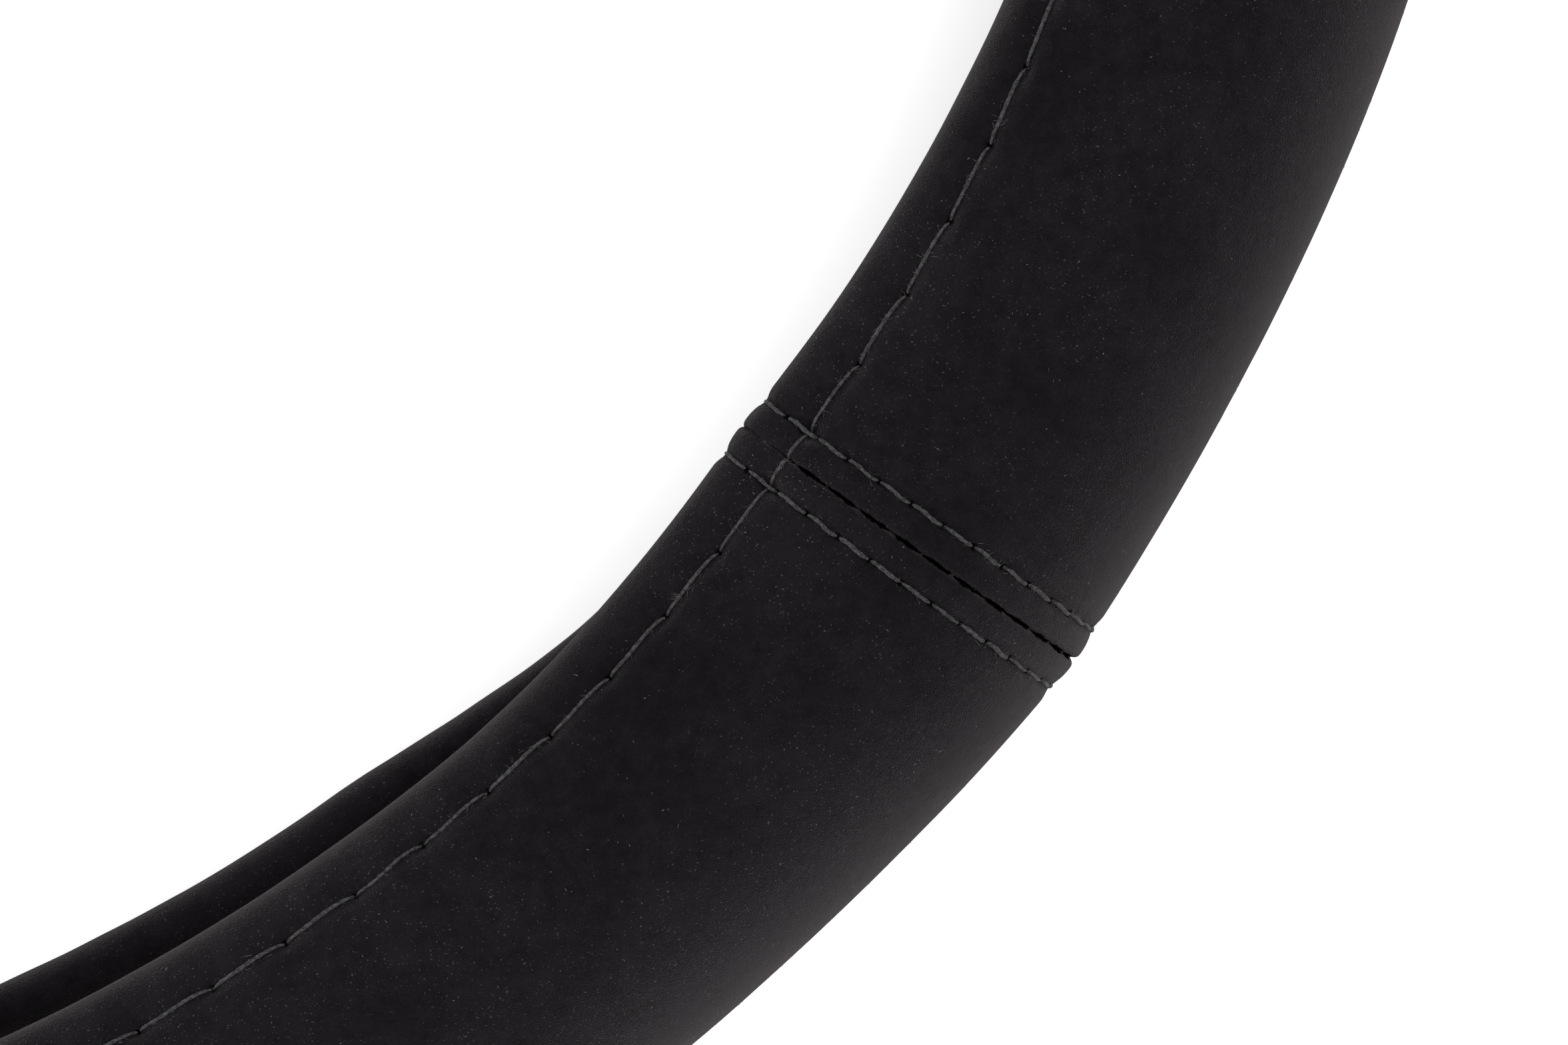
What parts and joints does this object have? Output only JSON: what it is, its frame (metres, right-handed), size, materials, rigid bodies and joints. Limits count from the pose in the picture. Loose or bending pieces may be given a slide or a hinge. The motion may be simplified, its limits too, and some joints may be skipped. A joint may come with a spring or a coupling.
{
  "type": "steering wheel cover",
  "caption": "Suede-like steering wheel cover: a stitched cloth ring over a moulded rubber channel that grips the rim of the wheel.",
  "frame": {"origin": "centre of the ring, on the surface that its rear face lies on", "axes": "+Z along the axis of the ring, from its rear to its front; +X to 3 o'clock and +Y to 12 o'clock"},
  "size_m": [0.3786, 0.3786, 0.0294],
  "materials": {
    "suede": "matte",
    "rubber": "satin",
    "thread": "matte"
  },
  "bodies": {
    "root": {"liner_ring": "rubber", "panel_right": "suede", "panel_top": "suede", "panel_left": "suede", "panel_bottom": "suede", "hem_thread_front": "thread", "hem_thread_rear": "thread", "joining_thread_lower_right": "thread", "topstitch_lower_right_1": "thread", "topstitch_lower_right_2": "thread", "joining_thread_upper_right": "thread", "topstitch_upper_right_1": "thread", "topstitch_upper_right_2": "thread", "joining_thread_upper_left": "thread", "topstitch_upper_left_1": "thread", "topstitch_upper_left_2": "thread", "joining_thread_lower_left": "thread", "topstitch_lower_left_1": "thread", "topstitch_lower_left_2": "thread"}
  },
  "joints": []
}
